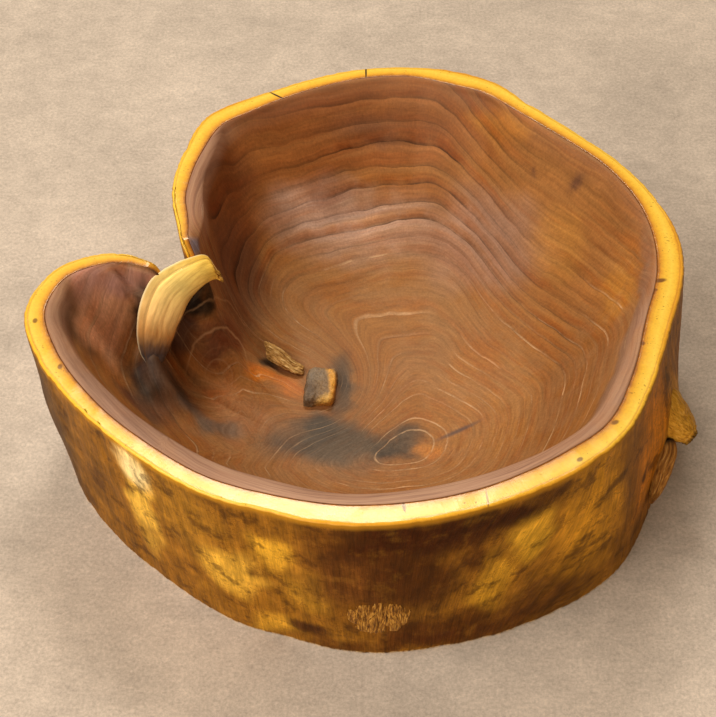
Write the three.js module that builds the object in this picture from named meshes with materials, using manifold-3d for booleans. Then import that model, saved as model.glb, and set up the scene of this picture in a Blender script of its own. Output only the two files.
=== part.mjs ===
// A live-edge bowl carved from one slice of a forked tree trunk.
// Millimetres, +Z up, standing on z = 0, with the origin under the middle of its outline.
// The wood zones are separate bodies that meet face to face: heartwood, sapwood, the rolled-in
// sapwood at the fork, the knot, the included bark, the branch stub and the bark left outside.
import * as THREE from 'three';
import { mergeVertices } from 'three/addons/utils/BufferGeometryUtils.js';
import Module from 'manifold-3d';

const wasm = await Module();
wasm.setup();

// Driving dimensions
const bowlHeight = 122;
const floorThickness = 20;
const growthGap = 0.3;
const columns = 120;
const edgeRound = 1.6;
const lipDrop = 3.5;
const baseLean = 12;
const baseTaper = 1;

// The fork's valley: how far the rim dips and the wall thins there, and over what length
const forkDip = 22;
const forkDipReach = 11;
const forkDipShift = -4;
const forkThinning = 0.6;
const forkThinningReach = 28;

// How much closer columns stand near the fork's valley: first and second wave round the outline
const finenessOnce = 0.45;
const finenessTwice = 0.3;

// The hollow: its lowest point, the wall's thickness, and how steeply it falls from the lip
const hollowCentre = [0, -70];
const wallThicknessMean = 20;
const wallThicknessSwing = 5;
const hollowSteepness = 2.2;
const hollowSteepnessLength = 150;
const forkSteepness = 3;
const forkSteepnessReach = 75;

// The trunk's outline at the rim, from the fork's valley clockwise seen from above.
// Each row holds x, y and the sapwood's thickness there.
const trunkOutline = [
  [-110, 12, 6], [-115, 22, 6], [-120, 42, 9], [-124, 63, 10], [-124, 85, 12], [-120, 107, 13],
  [-108, 142, 15], [-92, 157, 16], [-62, 173, 13], [-31, 187, 12], [0, 196, 12], [31, 197, 12],
  [63, 192, 17], [87, 180, 15], [109, 157, 13], [136, 128, 11], [161, 100, 11], [181, 65, 13],
  [192, 27, 17], [190, -9, 17], [177, -51, 16], [165, -87, 14], [144, -130, 13], [117, -156, 15],
  [77, -178, 14], [41, -190, 14], [3, -196, 15], [-25, -195, 15], [-58, -186, 13], [-94, -172, 12],
  [-132, -145, 12], [-161, -117, 12], [-191, -75, 13], [-203, -35, 13], [-190, -1, 12],
  [-165, 13, 11], [-146, 13, 9], [-129, 6, 6], [-119, 7, 5],
];

// Each trunk body below follows a line through these points: x, y, z, half width, half height.
const rolledSapwoodLine = [
  [-89, 15, 93, 3, 3], [-99, 19, 101, 8, 6], [-109.5, 16, 106, 11, 8], [-119, 4, 104, 13, 9],
  [-125.5, -6.5, 98, 13, 9], [-130, -15, 90, 12, 9], [-132, -20.5, 80, 10, 7], [-133, -24, 71, 4, 3],
];
const includedBarkLine = [
  [-66, 23, 33, 2, 2], [-60, 20, 30, 7, 5], [-52, 14, 27, 6, 5], [-45, 10, 25, 5, 4], [-39, 6, 23, 3, 3],
];
const branchStubLine = [
  [167, -60, 72, 13, 20], [173, -62, 70, 13, 20], [181, -65, 66, 11, 16], [189, -70, 62, 8, 11],
  [196, -74, 59, 5, 7], [201, -77, 57, 3, 4],
];
const tornFlapLine = [
  [180, -76, 50, 4, 4], [178, -82, 43, 8, 6], [175, -88, 33, 8, 6], [173, -93, 22, 6, 4],
  [172, -96, 14, 3, 2],
];

// In the hollow, the spur that carries the rolled sapwood and the crease between the two stems:
// x, y, and how far the surface stands up or lies down there.
const spurLine = [
  [-121, 2, 0], [-130, -15, 28], [-133, -22, 22], [-131, -29, 14], [-124, -35, 9], [-110, -44, 6],
  [-87, -53, 0],
];
const spurWidth = 11;
const creaseLine = [
  [-96, 22, 0], [-89, 26, 4], [-82, 27, 6], [-68, 18, 8], [-53, 12, 6], [-40, 5, 0],
];
const creaseWidth = 8;

const knotCentre = [-30, -8, 15];
const knotHalf = [10.5, 15, 14];
const patchHalf = [24, 4, 17];
const patchCentre = [4, -192.5, 30];

const colours = {
  heartwood: 0x6e4220,
  sapwood: 0xe0aa3c,
  bark: 0x8a6232,
  knot: 0x9a6526,
};

// A column's place along the outline, from 0 to 1.
function placeOfColumn(i) {
  const turn = (i / columns) * Math.PI * 2;
  const shift = finenessOnce * Math.sin(turn) + (finenessTwice / 2) * Math.sin(turn * 2);
  return (turn - shift) / (Math.PI * 2);
}

const outlineCurve = new THREE.CatmullRomCurve3(
  trunkOutline.map(([x, y, sapwood]) => new THREE.Vector3(x, y, sapwood)),
  true,
  'centripetal',
);

// Columns stand closer together near the fork's valley, which is at the start of the outline.
const outline = Array.from({ length: columns }, (_, i) => outlineCurve.getPointAt(placeOfColumn(i)));

function around(list, index) {
  return list[(index + list.length) % list.length];
}

function smoothLoop(points, passes) {
  let loop = points;
  for (let pass = 0; pass < passes; pass += 1) {
    loop = loop.map((point, i) => point.clone().multiplyScalar(2)
      .add(around(loop, i - 1)).add(around(loop, i + 1)).multiplyScalar(0.25));
  }
  return loop;
}

// Outward directions in plan, evened out so that offset lines don't cross.
const outward = smoothLoop(outline.map((point, i) => {
  const along = around(outline, i + 1).clone().sub(around(outline, i - 1));
  return new THREE.Vector3(-along.y, along.x, 0).normalize();
}), 3).map((direction) => direction.setZ(0).normalize());

const outlineLength = outlineCurve.getLength();

// Distance along the outline from the fork's valley, negative on the side stem's side.
function fromFork(i) {
  const place = placeOfColumn(i);
  return (place > 0.5 ? place - 1 : place) * outlineLength;
}

// How much of a change at the fork's valley is left at a column: 1 in the valley, fading over reach.
function nearFork(i, reach) {
  return Math.exp(-((fromFork(i) / reach) ** 2));
}

// Height of the rim at a column: level, and lower in the fork's valley.
function rimHeight(i) {
  return bowlHeight - forkDip * Math.exp(-(((fromFork(i) - forkDipShift) / forkDipReach) ** 4));
}

// A ridge or a groove along a line in plan: its height at a point, from rows of x, y, height.
function alongLine(line, width, x, y) {
  let nearest = Infinity;
  let amount = 0;
  for (let k = 0; k + 1 < line.length; k += 1) {
    const [x0, y0, a0] = line[k];
    const [x1, y1, a1] = line[k + 1];
    const run = (x1 - x0) ** 2 + (y1 - y0) ** 2;
    const share = Math.min(1, Math.max(0, ((x - x0) * (x1 - x0) + (y - y0) * (y1 - y0)) / run));
    const distance = Math.hypot(x - x0 - share * (x1 - x0), y - y0 - share * (y1 - y0));
    if (distance < nearest) {
      nearest = distance;
      amount = a0 + share * (a1 - a0);
    }
  }
  return amount * Math.exp(-((nearest / width) ** 2));
}

// A ring of points at one depth inside the trunk's skin and one height.
// depth(i) is measured inwards, height(i) upwards; the trunk leans and tapers towards its base.
function ring(depth, height) {
  const points = outline.map((point, i) => {
    const z = height(i);
    const down = 1 - z / bowlHeight;
    const inset = depth(i) + baseTaper * down;
    return new THREE.Vector3(
      point.x - outward[i].x * inset + baseLean * down,
      point.y - outward[i].y * inset,
      z,
    );
  });
  return points;
}

const sapwoodAt = (i) => outline[i].z;
const wallAt = (i) => (wallThicknessMean - wallThicknessSwing * outward[i].y)
  * (1 - forkThinning * nearFork(i, forkThinningReach));

// A closed body from rings of equal length: the first and last ring are closed with fans,
// or joined to each other when the rings go round a wall.
function bodyOfRings(rings, closedRound) {
  const count = rings[0].length;
  const positions = rings.flat().flatMap((point) => [point.x, point.y, point.z]);
  const index = [];
  const bands = closedRound ? rings.length : rings.length - 1;
  for (let r = 0; r < bands; r += 1) {
    const low = r * count;
    const high = ((r + 1) % rings.length) * count;
    for (let i = 0; i < count; i += 1) {
      const next = (i + 1) % count;
      index.push(low + i, low + next, high + next, low + i, high + next, high + i);
    }
  }
  if (!closedRound) {
    [[rings[0], 0, 1], [rings[rings.length - 1], (rings.length - 1) * count, -1]].forEach(
      ([loop, start, side]) => {
        const middle = loop.reduce((sum, point) => sum.add(point), new THREE.Vector3())
          .divideScalar(count);
        const hub = positions.length / 3;
        positions.push(middle.x, middle.y, middle.z);
        for (let i = 0; i < count; i += 1) {
          const next = (i + 1) % count;
          if (side > 0) index.push(hub, start + next, start + i);
          else index.push(hub, start + i, start + next);
        }
      },
    );
  }
  return facingOut(positions, index);
}

function facingOut(positions, index) {
  let volume = 0;
  const corner = (k) => new THREE.Vector3().fromArray(positions, index[k] * 3);
  for (let k = 0; k < index.length; k += 3) {
    volume += corner(k).dot(corner(k + 1).cross(corner(k + 2)));
  }
  const turned = volume > 0 ? index : index.slice().reverse();
  const geometry = new THREE.BufferGeometry();
  geometry.setAttribute('position', new THREE.Float32BufferAttribute(positions, 3));
  geometry.setIndex(turned);
  return geometry;
}

function solidOf(geometry) {
  const bare = geometry.clone();
  bare.deleteAttribute('normal');
  bare.deleteAttribute('uv');
  const merged = mergeVertices(bare);
  return new wasm.Manifold(new wasm.Mesh({
    numProp: 3,
    vertProperties: Float32Array.from(merged.attributes.position.array),
    triVerts: Uint32Array.from(merged.index.array),
  }));
}

function geometryOf(solid) {
  const mesh = solid.getMesh();
  const geometry = new THREE.BufferGeometry();
  geometry.setAttribute('position', new THREE.BufferAttribute(
    Float32Array.from(mesh.vertProperties),
    3,
  ));
  geometry.setIndex(Array.from(mesh.triVerts));
  return geometry;
}

// A rounded body along a line, elliptical across it, with a little more size for its socket.
function bodyAlong(line, steps, sides, extra = 0) {
  const centres = new THREE.CatmullRomCurve3(line.map((row) => new THREE.Vector3(...row)));
  const sizes = new THREE.CatmullRomCurve3(
    line.map((row) => new THREE.Vector3(row[3], row[4], 0)),
  );
  const rings = [];
  for (let k = 0; k <= steps; k += 1) {
    const t = k / steps;
    const centre = centres.getPoint(t);
    const size = sizes.getPoint(t);
    const forward = centres.getTangent(t);
    const across = new THREE.Vector3(0, 0, 1).cross(forward).normalize();
    const up = forward.clone().cross(across);
    centre.addScaledVector(forward, k === 0 ? -extra : 0);
    centre.addScaledVector(forward, k === steps ? extra : 0);
    rings.push(Array.from({ length: sides }, (_, i) => {
      const turn = (i / sides) * Math.PI * 2;
      return centre.clone()
        .addScaledVector(across, Math.cos(turn) * (size.x + extra))
        .addScaledVector(up, Math.sin(turn) * (size.y + extra));
    }));
  }
  return bodyOfRings(rings, false);
}

// A rounded block: a sphere pushed towards a box, used for the knot and the bark patch.
function roundedBlock(centre, half, squareness, extra = 0) {
  const geometry = mergeVertices(stripped(new THREE.SphereGeometry(1, 20, 12)));
  const position = geometry.attributes.position;
  const point = new THREE.Vector3();
  for (let k = 0; k < position.count; k += 1) {
    point.fromBufferAttribute(position, k);
    const norm = (Math.abs(point.x) ** squareness + Math.abs(point.y) ** squareness
      + Math.abs(point.z) ** squareness) ** (1 / squareness);
    point.divideScalar(norm);
    position.setXYZ(
      k,
      centre[0] + point.x * (half[0] + extra),
      centre[1] + point.y * (half[1] + extra),
      centre[2] + point.z * (half[2] + extra),
    );
  }
  return geometry;
}

function stripped(geometry) {
  geometry.deleteAttribute('normal');
  geometry.deleteAttribute('uv');
  return geometry;
}

// The sapwood wall: outside from base to rim, over the top, and down its inner face.
function sapwoodWall() {
  const outside = [0, 0.14, 0.3, 0.5, 0.7, 0.86];
  const rings = [
    ...outside.map((share) => ring(() => 0, (i) => share * rimHeight(i))),
    ring(() => 0, (i) => rimHeight(i) - edgeRound),
    ring(() => edgeRound, rimHeight),
    ring(sapwoodAt, rimHeight),
    ring(sapwoodAt, (i) => rimHeight(i) * 0.55),
    ring(sapwoodAt, () => 0),
  ];
  return bodyOfRings(rings, true);
}

// The heartwood bowl: its outer face against the sapwood, the lip, the hollow and the floor.
function heartwoodBowl() {
  const inside = (i) => sapwoodAt(i) + growthGap;
  const lip = ring(wallAt, (i) => rimHeight(i) - lipDrop);
  const centre = new THREE.Vector3(hollowCentre[0], hollowCentre[1], 0);
  const hollow = [];
  const shares = [0.02, 0.045, 0.075, 0.11, 0.15, 0.2, 0.26, 0.33, 0.41, 0.51, 0.63, 0.77, 0.91];
  shares.forEach((share) => {
    hollow.push(lip.map((edge, i) => {
      const flat = new THREE.Vector3(edge.x, edge.y, 0);
      const length = flat.distanceTo(centre);
      const steepness = hollowSteepness + length / hollowSteepnessLength
        + forkSteepness * nearFork(i, forkSteepnessReach);
      const point = flat.lerp(centre, share);
      point.z = floorThickness + (edge.z - floorThickness) * (1 - share) ** steepness
        + alongLine(spurLine, spurWidth, point.x, point.y)
        - alongLine(creaseLine, creaseWidth, point.x, point.y);
      return point;
    }));
  });
  const rings = [
    ring(inside, () => 0),
    ring(inside, (i) => rimHeight(i) * 0.55),
    ring(inside, rimHeight),
    ring((i) => (sapwoodAt(i) + wallAt(i)) / 2 + growthGap, (i) => rimHeight(i) - lipDrop * 0.25),
    lip,
    ...hollow,
  ];
  return bodyOfRings(rings, false);
}

function sub(name, geometry, colour, roughness) {
  const mesh = new THREE.Mesh(
    geometry,
    new THREE.MeshStandardMaterial({ color: colour, roughness, metalness: 0 }),
  );
  mesh.name = name;
  return mesh;
}

const sockets = [
  bodyAlong(rolledSapwoodLine, 18, 14, growthGap),
  bodyAlong(includedBarkLine, 12, 10, growthGap),
  bodyAlong(branchStubLine, 12, 12, growthGap),
  bodyAlong(tornFlapLine, 10, 10, growthGap),
  roundedBlock(knotCentre, knotHalf, 4, growthGap),
  roundedBlock(patchCentre, patchHalf, 4, growthGap),
].map(solidOf);

function withSockets(geometry) {
  return geometryOf(sockets.reduce((solid, socket) => solid.subtract(socket), solidOf(geometry)));
}

const knotSolid = solidOf(roundedBlock(knotCentre, knotHalf, 4));
const barkSolid = solidOf(bodyAlong(includedBarkLine, 12, 10)).subtract(sockets[4]);

const bowl = new THREE.Group();
bowl.add(sub('heartwood_bowl', withSockets(heartwoodBowl()), colours.heartwood, 0.45));
bowl.add(sub('sapwood_wall', withSockets(sapwoodWall()), colours.sapwood, 0.5));
bowl.add(sub('rolled_sapwood', bodyAlong(rolledSapwoodLine, 18, 14), colours.sapwood, 0.35));
bowl.add(sub('included_bark', geometryOf(barkSolid), colours.bark, 0.8));
bowl.add(sub('floor_knot', geometryOf(knotSolid), colours.knot, 0.6));
bowl.add(sub('branch_stub', geometryOf(
  solidOf(bodyAlong(branchStubLine, 12, 12)).subtract(sockets[3]),
), colours.sapwood, 0.7));
bowl.add(sub('torn_flap', bodyAlong(tornFlapLine, 10, 10), colours.bark, 0.8));
bowl.add(sub('bark_patch', roundedBlock(patchCentre, patchHalf, 4), colours.bark, 0.85));

export default bowl;
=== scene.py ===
"""A live-edge wooden bowl, carved from one slice of a forked trunk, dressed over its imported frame.

Sizes and places are in millimetres in the frame's own axes, and become metres when a mesh is made.
"""
from math import radians
from types import SimpleNamespace

import bmesh
import bpy
import numpy as np
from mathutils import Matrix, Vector, noise


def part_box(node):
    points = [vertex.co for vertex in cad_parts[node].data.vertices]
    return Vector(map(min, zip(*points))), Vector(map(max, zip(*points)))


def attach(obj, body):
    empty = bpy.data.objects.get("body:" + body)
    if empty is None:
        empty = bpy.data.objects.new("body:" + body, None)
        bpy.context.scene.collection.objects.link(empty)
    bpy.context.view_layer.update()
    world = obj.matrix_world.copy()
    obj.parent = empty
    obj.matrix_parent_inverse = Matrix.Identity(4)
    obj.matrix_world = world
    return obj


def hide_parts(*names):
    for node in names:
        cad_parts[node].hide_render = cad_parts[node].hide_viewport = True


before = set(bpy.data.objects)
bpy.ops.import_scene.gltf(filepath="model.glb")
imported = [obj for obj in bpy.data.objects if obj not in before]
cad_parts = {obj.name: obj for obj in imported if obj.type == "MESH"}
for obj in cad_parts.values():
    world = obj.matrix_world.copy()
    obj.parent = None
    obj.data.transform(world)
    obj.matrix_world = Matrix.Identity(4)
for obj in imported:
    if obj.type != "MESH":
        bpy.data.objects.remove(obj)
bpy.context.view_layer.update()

bl_info = {
    "name": "Live-edge bowl",
    "version": (1, 0, 0),
    "blender": (4, 5, 0),
    "location": "View3D > Sidebar > Bowl",
    "description": "Dresses a live-edge bowl with heartwood, sapwood and bark",
    "category": "Object",
}

MM = 0.001

# The trunk slice: it leans and tapers towards its base, and its outline starts in the fork's valley.
BOWL_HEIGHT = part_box("sapwood_wall")[1][2] / MM
TRUNK_LEAN = 12.0
TRUNK_TAPER = 1.0
FORK_VALLEY = (-98.0, 12.0)
VALLEY_SAPWOOD = 6.0
COLUMNS = 640

# At the fork: the rim's dip, the wall's thinning and the sink of the heartwood's top, each with how far
# along the outline it reaches and, where it lies beside the valley, its shift
FORK_DIP = 22.0
FORK_DIP_REACH = 13.0
FORK_DIP_SHIFT = -6.0
FORK_THINNING = 0.6
FORK_THINNING_REACH = 28.0
FORK_SINK = 19.0
FORK_SINK_REACH = 19.0
FORK_SINK_SHIFT = -25.0

# The hollow: its lowest point, the wall, and how steeply it falls from the lip
HOLLOW_CENTRE = np.array([0.0, -70.0])
FLOOR_THICKNESS = 20.0
WALL_MEAN = 20.0
WALL_SWING = 5.0
LEAST_LIP = 2.2
STEEPNESS = 2.2
STEEPNESS_LENGTH = 150.0
FORK_STEEPNESS = 3.0
FORK_STEEPNESS_REACH = 75.0

# In the hollow: the spur below the rolled sapwood and the crease between the stems (x, y, height)
SPUR_LINE = ((-121, 0, 0), (-126, -13, 14), (-130, -21, 26), (-130, -28, 27), (-126, -35, 21),
             (-118, -42, 13), (-104, -49, 6), (-87, -54, 0))
SPUR_WIDTH = 10.0
SPUR_DROP = 14.0
CREASE_LINE = ((-96, 22, 0), (-89, 26, 4), (-82, 27, 6), (-68, 18, 8), (-53, 12, 6), (-40, 5, 0))
CREASE_WIDTH = 8.0

# Growth rings: both piths, how the stems' rings close where they meet, and how many there are
MAIN_PITH = np.array([10.0, -58.0])
SIDE_PITH = np.array([-95.0, -18.0])
PITH_FLATNESS = 0.5
MAIN_STEM_SHARE = 0.66
MAIN_INNER_SIDE = ((-158, -95), (-136, -50), (-118, -10))
SIDE_INNER_SIDE = ((-70, 34), (-42, 14), (-38, -24), (-58, -70), (-110, -118))
RING_SEAM = ((-108, 14), (-95, 24), (-78, 19), (-56, 9), (-46, 0))
SEAM_REACH = 75.0
RINGS = 23.0
RING_CROWDING = 1.18
SIDE_RINGS = 14.0
RING_STEP = 7.0
GRAIN_RADIUS = 140.0
RIGHT_RING_DROP = 3.0

# Sheets of wood: their left and right edges, and half their thickness
ROLLED_SAPWOOD_EDGES = (
    ((-93, 20, 102), (-89, 14, 95), 3.5), ((-100, 23, 109), (-95, 15, 97), 6.0),
    ((-112, 14, 114), (-102, 10, 97), 7.0), ((-124, 4, 115), (-109, 3, 93), 7.0),
    ((-132, -2, 111), (-113, -4, 89), 7.0), ((-138, -12, 99), (-117, -10, 83), 6.5),
    ((-140, -20, 86), (-120, -15, 76), 5.5), ((-139, -26, 76), (-123, -21, 70), 4.0),
    ((-136, -30, 70), (-126, -27, 67), 2.0))
INCLUDED_BARK_EDGES = (
    ((-66, 24, 33), (-64, 15, 24), 2.6), ((-56, 17, 32), (-55, 9, 24), 3.4),
    ((-47, 10, 29), (-47, 4, 23), 3.4), ((-41, 7, 27), (-41, 3, 23), 2.6))

# Bodies that follow a line: x, y, z, half width, half height
BRANCH_STUB_LINE = (
    (158, -50, 84, 8, 11), (165, -56, 78, 11, 14), (173, -62, 70, 13, 17), (182, -68, 62, 11.5, 14),
    (190.5, -73, 56, 8.5, 9.5), (196, -76, 53.5, 5, 6))
TORN_FLAP_LINE = (
    (178, -76, 53, 6, 6), (179, -82, 45, 6.5, 6), (177, -88, 33, 5.5, 4), (175, -92, 22, 3.5, 3),
    (173, -95, 14, 1, 1))

# The knot's middle and half sizes, and the patch's sides, levels, taper, thickness and depth in the wall
KNOT_CENTRE = (-30.0, -8.0, 15.0)
KNOT_HALF = (10.5, 15.0, 14.0)
PATCH_SIDES = (-13.0, 24.0)
PATCH_LEVELS = (20.0, 50.0)
PATCH_TAPER = 0.28
PATCH_THICKNESS = 3.2
PATCH_DEPTH = 1.9

# The roll's pale edge and the groove beside it: their turns round the roll, width, rise and depth
EDGE_TURN = 2.95
GROOVE_TURN = 2.6
EDGE_WIDTH = 0.16
EDGE_RISE = 2.2
GROOVE_DEPTH = 1.5

# The wall's swellings, round the stub and on the left: amount, middle in y and z, reach in y and z
STUB_SWELL = (9.0, -62.0, 62.0, 26.0, 34.0)
LEFT_SWELL = (3.0, -45.0, 62.0, 45.0, 28.0)

# The sapwood's rounded edges, the heartwood's gap to it and the lip's fall towards the hollow
BASE_ROUND = 1.2
RIM_ROUND = 2.0
ZONE_GAP = 0.1
LIP_DROP = 3.5

# The lip's painted reflection, a mauve sheen: its share at the back, and how far it keeps from the fork
LIP_SHEEN_BACK = 0.15
FORK_SHEEN_REACH = 30.0

# How far the outside's fibres lean over, on the right of the front and on the left
FIBRE_SLANT = 0.55
FIBRE_SLANT_PLACE = 85.0
FIBRE_SLANT_REACH = 60.0
LEFT_SLANT = 0.2

# Where pale lines take over from the dark rings: low on the floor, on the right and in the side stem
FLOOR_PALE = (32.0, 58.0)
RIGHT_PALE = (80.0, 170.0)
SIDE_PALE = (62.0, 82.0)

# How finely the pieces are laid out: rows, and how they crowd towards the lip, then steps along and sides
# round, but for the knot steps round and then up
OUTSIDE_ROWS = 56
HOLLOW_ROWS = 84
HOLLOW_CROWDING = 1.35
ROLLED_STEPS = (130, 90)
BARK_STEPS = (120, 80)
KNOT_STEPS = (120, 80)
STUB_STEPS = (120, 120)
FLAP_STEPS = (110, 90)
PATCH_STEPS = (259, 90)

# Colours in the hollow: stains and the wood's own tones, with painted shade and a painted sheen where marked
# below: colour, centre, radii, strength. Many centres here and outside began as points picked by eye on the
# photograph and turned into mm by a scratch script, and were then moved by hand.
HOLLOW_BASE = "#96602e"
HOLLOW_ZONES = (
    ("#90582e", (0, 165, 100), (120, 34, 34), 0.9),
    ("#8e5426", (-60, 120, 90), (44, 50, 44), 0.85),
    # Darker on the main stem's left wall: the wood's own tone with painted shade where the wall faces away
    # from the light
    ("#7a4420", (-92, 92, 85), (22, 52, 45), 0.95),
    ("#66402a", (-84, 52, 60), (22, 36, 40), 0.85),
    ("#6e4630", (15, 160, 102), (40, 14, 12), 0.6),
    ("#b4742a", (80, 146, 112), (34, 16, 12), 0.8),
    ("#a46c2e", (125, 69, 76), (18, 24, 18), 0.8),
    ("#b0742c", (157, 14, 89), (14, 24, 24), 0.7),
    # Painted reflection: a mauve sheen on the back wall, right of the middle
    ("#9a745e", (75, 95, 56), (52, 38, 28), 0.75),
    ("#bc9880", (-10, 108, 64), (50, 28, 26), 0.85),
    ("#946230", (5, 55, 28), (64, 44, 26), 0.6),
    ("#a66e36", (80, -30, 30), (56, 46, 26), 0.7),
    ("#855226", (130, -40, 60), (30, 60, 40), 0.6),
    ("#48423a", (-22, -52, 20), (44, 20, 14), 0.95),
    ("#443e36", (-28, -42, 20), (26, 18, 12), 0.95),
    ("#403a32", (14, -50, 20), (24, 11, 10), 0.95),
    # Painted shadow in the gap right of the knot
    ("#3c3630", (-14, -4, 22), (8, 22, 12), 0.95),
    ("#c67a2c", (38, -60, 20), (9, 6, 8), 0.8),
    ("#a87466", (-157, -3, 108), (34, 14, 13), 0.9),
    ("#44281c", (-178, -36, 100), (12, 26, 24), 0.8),
    ("#cc9068", (-162, -17, 88), (15, 22, 26), 0.95),
    ("#52332a", (-138, -56, 60), (22, 16, 20), 0.8),
    ("#2e2a2a", (-138, -34, 62), (12, 16, 20), 0.95),
    # Painted shadow of the ridge, between the rolled sapwood and the arcs
    ("#3e2c28", (-115, -10, 74), (10, 14, 18), 0.9),
    ("#64301a", (-94, -1, 60), (15, 13, 18), 0.95),
    # Painted shade in the hollow under the rolled sapwood
    ("#060606", (-103, 7, 91), (16, 13, 13), 1.0),
    ("#080706", (-111, -1, 86), (9, 8, 9), 0.95),
    # Painted shade in the crevice left of the rolled sapwood
    ("#1a1412", (-141, -10, 94), (8, 14, 24), 0.95),
    ("#6a6672", (-106, 24, 117), (6, 7, 8), 0.85),
    ("#64534a", (-127, -30, 62), (13, 12, 16), 0.9),
    ("#443e3c", (-117, -38, 44), (18, 13, 15), 0.95),
    ("#5e544c", (-100, -48, 30), (22, 12, 12), 0.85),
    ("#b0703e", (-88, -24, 34), (13, 14, 12), 0.85),
    ("#8e5428", (-74, -34, 24), (14, 14, 12), 0.7),
    ("#cc7420", (-70, 1, 30), (15, 7, 12), 0.95),
    ("#bc6820", (-52, -5, 22), (13, 8, 10), 0.9),
    ("#6a2e10", (-86, 8, 50), (8, 14, 16), 0.85),
    ("#140c08", (-66, 13, 22), (11, 5, 9), 1.0),
    ("#6a3a26", (-32, 128, 66), (20, 14, 16), 0.4),
    ("#4a2e24", (95, 120, 108), (7, 5, 8), 0.9),
    ("#5a3626", (108, 112, 106), (5, 5, 8), 0.8),
    ("#5a3626", (138, 92, 106), (6, 6, 9), 0.8),
    ("#6e5248", (-120, -118, 118), (80, 70, 7), 0.8),
    ("#7e5c48", (150, -60, 117), (60, 100, 7), 0.8),
)

# The drying crack beside the pith: colour, centre, radii, strength, turn, softness
PITH_CRACK = ("#5a4640", (57, -44, 21), (13, 1.5, 12), 0.85, 26, 0.8)

# Arcs of the side stem's rings below the fork: their middle, their radii and where their pale lines lie
ARC_CENTRE = (-94.0, -14.0, 38.0)
ARC_RADII = (20.0, 30.0, 33.0)
ARC_LINES = ((0.0, "#000000"), (0.19, "#000000"), (0.212, "#7c7c7c"), (0.23, "#000000"),
             (0.33, "#000000"), (0.345, "#505050"), (0.36, "#000000"), (0.505, "#000000"),
             (0.527, "#b4b4b4"), (0.55, "#000000"), (0.66, "#000000"), (0.672, "#484848"),
             (0.69, "#000000"), (0.815, "#000000"), (0.832, "#909090"), (0.85, "#000000"))

# Where the ring lines fade: amount, centre, radii
FAINT_ZONES = (
    (0.85, (128, 90, 95), (56, 60, 60)),
    (0.6, (-60, 120, 90), (40, 60, 60)),
    (0.5, (-30, -30, 20), (40, 40, 20)),
    (0.9, (-6, 30, 26), (26, 24, 18)),
)

# What a growth ring does to the wood's colour, from its dark line outwards, and the colours of the lip's
# painted reflection
RING_TINTS = ((0.0, "#54402e"), (0.04, "#80603e"), (0.12, "#bc9260"), (0.3, "#e2b884"),
              (0.55, "#f6deb8"), (0.78, "#ffffff"), (0.972, "#ffffff"), (1.0, "#54402e"))
PALE_LINE = "#d8ac7c"
LIP_SHEEN_TINTS = ((0.3, "#8e6650"), (0.5, "#b48668"), (0.7, "#c69a78"))

# Outside stains
OUTSIDE_BASE = "#8e5a16"
OUTSIDE_ZONES = (
    ("#4e3010", (-190, -60, 50), (26, 46, 90), 0.9),
    ("#7c4e14", (-160, -112, 60), (16, 24, 50), 0.7),
    ("#e8b040", (-131, -143, 78), (13, 13, 46), 0.95),
    ("#fbdc98", (-132, -142, 102), (12, 11, 16), 0.9),
    ("#9a681c", (-100, -163, 92), (24, 24, 34), 0.8),
    ("#dea436", (-76, -175, 52), (21, 14, 18), 0.9),
    ("#e2a42c", (-58, -184, 84), (13, 12, 15), 0.9),
    ("#b47e22", (-34, -190, 58), (16, 14, 20), 0.8),
    ("#d6982a", (-52, -183, 14), (16, 14, 10), 0.85),
    ("#42200a", (-38, -189, 16), (14, 12, 7), 0.95),
    ("#502608", (-60, -183, 60), (4, 8, 5), 0.9),
    ("#5e3210", (-6, -194, 80), (34, 20, 44), 0.9),
    ("#3c1804", (28, -192, 106), (54, 24, 18), 1.0),
    ("#442006", (24, -193, 70), (26, 20, 30), 0.9),
    ("#3c1a05", (76, -178, 108), (34, 24, 13), 1.0),
    ("#cc9024", (70, -182, 52), (12, 14, 26), 0.9),
    ("#d49a28", (92, -172, 82), (12, 14, 20), 0.9),
    ("#4c2408", (58, -186, 84), (8, 10, 18), 0.8),
    ("#cc8a20", (126, -150, 78), (24, 26, 52), 0.85),
    ("#522808", (40, -190, 18), (36, 20, 16), 0.9),
    ("#58300c", (98, -168, 20), (44, 24, 17), 0.8),
    ("#4e2408", (34, -186, 6), (90, 30, 9), 0.8),
    ("#d4801a", (166, -94, 72), (18, 30, 60), 0.9),
    ("#3e1e08", (162, -104, 50), (3, 5, 26), 0.95),
    ("#e0a038", (184, -64, 66), (12, 15, 26), 0.9),
    ("#a0641a", (186, 10, 60), (30, 80, 80), 0.6),
)
BARE_TINT = "#c88e2c"
BARK_TINT = "#4e2a0c"

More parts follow.
